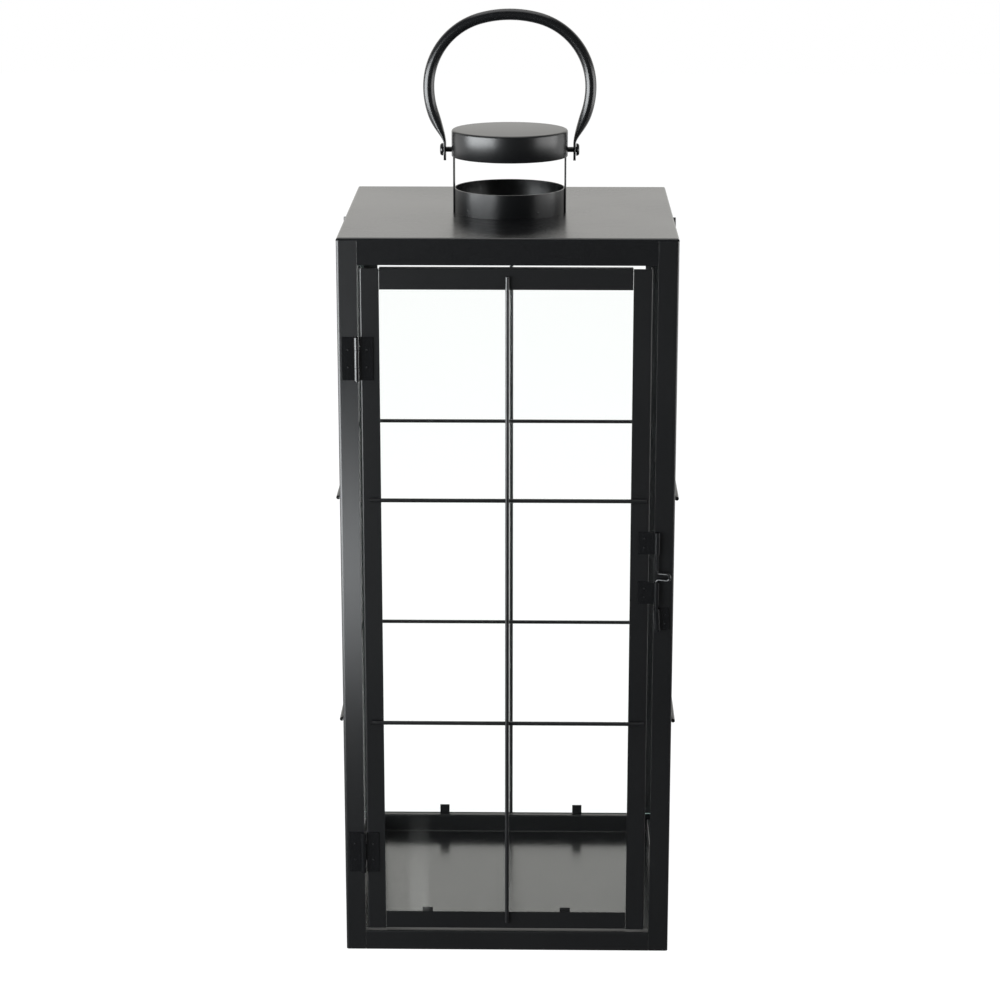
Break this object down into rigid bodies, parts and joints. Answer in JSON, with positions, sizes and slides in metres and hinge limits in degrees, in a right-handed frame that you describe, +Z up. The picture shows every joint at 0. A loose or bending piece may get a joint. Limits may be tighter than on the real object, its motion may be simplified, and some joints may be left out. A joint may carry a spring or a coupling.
{
  "type": "candle lantern",
  "caption": "Tall square floor lantern of black sheet metal with glass sides behind wire grids, a hinged front door with a sliding latch, and a vented crown with a bail handle.",
  "frame": {"origin": "middle of the underside, on the floor", "axes": "+Z up, -Y out through the front door, +X to the right as the door is looked at, hinges on the -X side"},
  "size_m": [0.262, 0.2629, 0.7139],
  "materials": {
    "black_powder_coat": "satin powder coat",
    "wire_black": "satin powder coat",
    "rivet_black": "satin powder coat over steel",
    "clear_glass": "clear float glass"
  },
  "bodies": {
    "frame": {"base_plate": "black_powder_coat", "bottom_rail_front": "black_powder_coat", "bottom_rail_left": "black_powder_coat", "bottom_rail_rear": "black_powder_coat", "bottom_rail_right": "black_powder_coat", "crown_cap": "black_powder_coat", "crown_ring": "black_powder_coat", "crown_strap_left": "black_powder_coat", "crown_strap_right": "black_powder_coat", "glass_clips_left": "black_powder_coat", "glass_clips_rear": "black_powder_coat", "glass_clips_right": "black_powder_coat", "glass_left": "clear_glass", "glass_rear": "clear_glass", "glass_right": "clear_glass", "handle_rivet_left": "rivet_black", "handle_rivet_right": "rivet_black", "hinge_lower_pin": "rivet_black", "hinge_lower_post_leaf": "black_powder_coat", "hinge_upper_pin": "rivet_black", "hinge_upper_post_leaf": "black_powder_coat", "latch_keeper": "black_powder_coat", "post_front_left": "black_powder_coat", "post_front_right": "black_powder_coat", "post_rear_left": "black_powder_coat", "post_rear_right": "black_powder_coat", "roof": "black_powder_coat", "wire_lower_left": "wire_black", "wire_lower_rear": "wire_black", "wire_lower_right": "wire_black", "wire_upper_left": "wire_black", "wire_upper_rear": "wire_black", "wire_upper_right": "wire_black", "wire_upright_left": "wire_black", "wire_upright_rear": "wire_black", "wire_upright_right": "wire_black"},
    "door": {"door_glass": "clear_glass", "door_glass_clips": "black_powder_coat", "door_rail_bottom": "black_powder_coat", "door_rail_top": "black_powder_coat", "door_stile_left": "black_powder_coat", "door_stile_right": "black_powder_coat", "door_wire_lower": "wire_black", "door_wire_upper": "wire_black", "door_wire_upright": "wire_black", "hinge_lower_door_leaf": "black_powder_coat", "hinge_upper_door_leaf": "black_powder_coat", "latch_guide_lower": "black_powder_coat", "latch_guide_upper": "black_powder_coat"},
    "bolt": {"latch_bolt": "black_powder_coat"},
    "handle": {"handle": "black_powder_coat"}
  },
  "joints": [
    {"name": "door_hinge", "type": "hinge", "parent": "frame", "child": "door", "pos_m": [-0.1105, -0.12725, 0.276], "axis": [0, 0, -1], "range_deg": [0, 175]},
    {"name": "latch_slide", "type": "slide", "parent": "door", "child": "bolt", "axis": [0, 0, 1], "range_m": [0, 0.012]},
    {"name": "handle_pivot", "type": "hinge", "parent": "frame", "child": "handle", "pos_m": [0, 0, 0.6074], "axis": [1, 0, 0], "range_deg": [-114, 114]}
  ]
}
